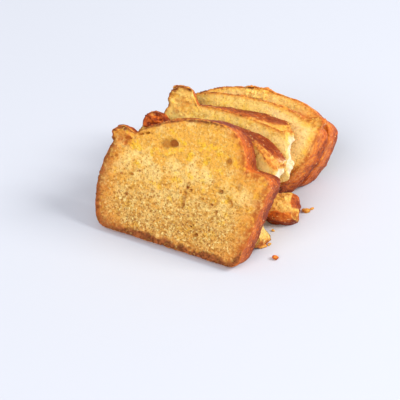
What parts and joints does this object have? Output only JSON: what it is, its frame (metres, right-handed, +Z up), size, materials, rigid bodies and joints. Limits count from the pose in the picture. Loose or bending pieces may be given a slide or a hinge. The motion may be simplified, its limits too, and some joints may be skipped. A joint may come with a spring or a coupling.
{
  "type": "sliced pound cake loaf",
  "caption": "Pound cake loaf cut into thick slices that lean back on each other, with a torn side and a broken corner beside it.",
  "frame": {"origin": "middle of the bounding box at the floor", "axes": "+Z up, the row of slices runs back along +Y, the first cut face looks along -Y"},
  "size_m": [0.1186, 0.1344, 0.0788],
  "materials": {
    "cake": "open golden crumb with small pores, browned crust on the outside"
  },
  "bodies": {
    "root": {"slice_front": "cake", "slice_second": "cake", "slice_third": "cake", "slice_fourth": "cake", "slice_back": "cake", "broken_corner": "cake"}
  },
  "joints": []
}
